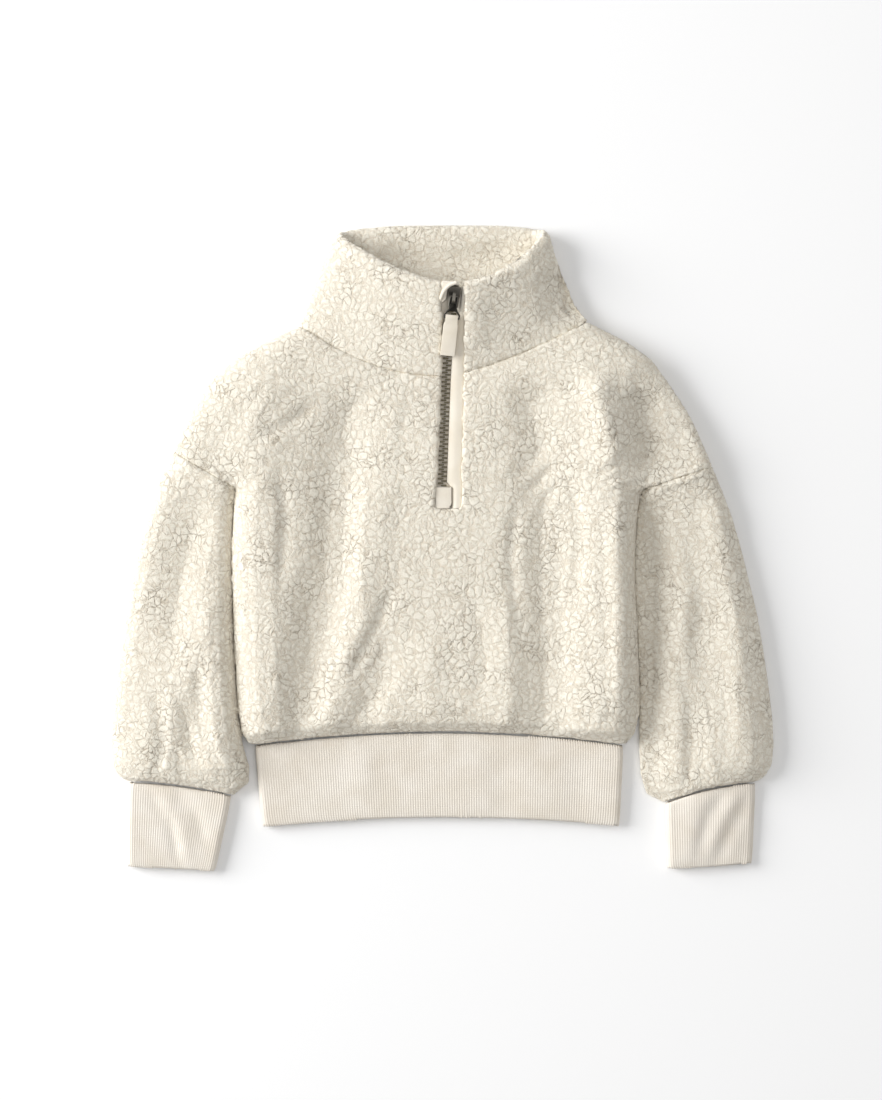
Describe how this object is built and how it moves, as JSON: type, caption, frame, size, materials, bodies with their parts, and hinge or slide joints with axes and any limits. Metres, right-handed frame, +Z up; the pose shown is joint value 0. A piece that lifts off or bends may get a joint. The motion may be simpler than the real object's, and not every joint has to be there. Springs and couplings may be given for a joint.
{
  "type": "sherpa fleece pullover",
  "caption": "Toddler's sherpa fleece pullover with a stand collar, quarter zip, dropped shoulders and rib hem and cuffs, laid flat on its back.",
  "frame": {"origin": "on the floor under the middle of the garment as it lies, with its back down", "axes": "+Z up from the floor, +Y towards the collar, +X to the right as the front is seen from above"},
  "size_m": [0.4743, 0.4649, 0.0366],
  "materials": {
    "sherpa": "undyed cream sherpa pile with curled nubs",
    "rib": "cream 1 by 1 rib knit",
    "tape": "cream woven zip tape",
    "facing": "smooth cream twill",
    "teeth": "dark antique plating, worn at the edges",
    "gunmetal": "gunmetal plating, satin"
  },
  "bodies": {
    "garment": {"front_panel": "sherpa", "back_panel": "sherpa", "sleeve_left": "sherpa", "sleeve_right": "sherpa", "collar": "sherpa", "hem_band": "rib", "cuff_left": "rib", "cuff_right": "rib", "zip_tape": "tape", "zip_chain": "teeth", "zip_facing": "facing", "zip_end_tab": "facing", "zip_garage": "facing", "zip_slider": "gunmetal"},
    "pull": {"zip_pull": "gunmetal", "zip_pull_tab": "facing"}
  },
  "joints": [
    {"name": "pull_swing", "type": "hinge", "parent": "garment", "child": "pull", "pos_m": [0.00818, 0.1784, 0.03392], "axis": [-0.9936, 0.1132, 0], "range_deg": [0, 160]}
  ]
}
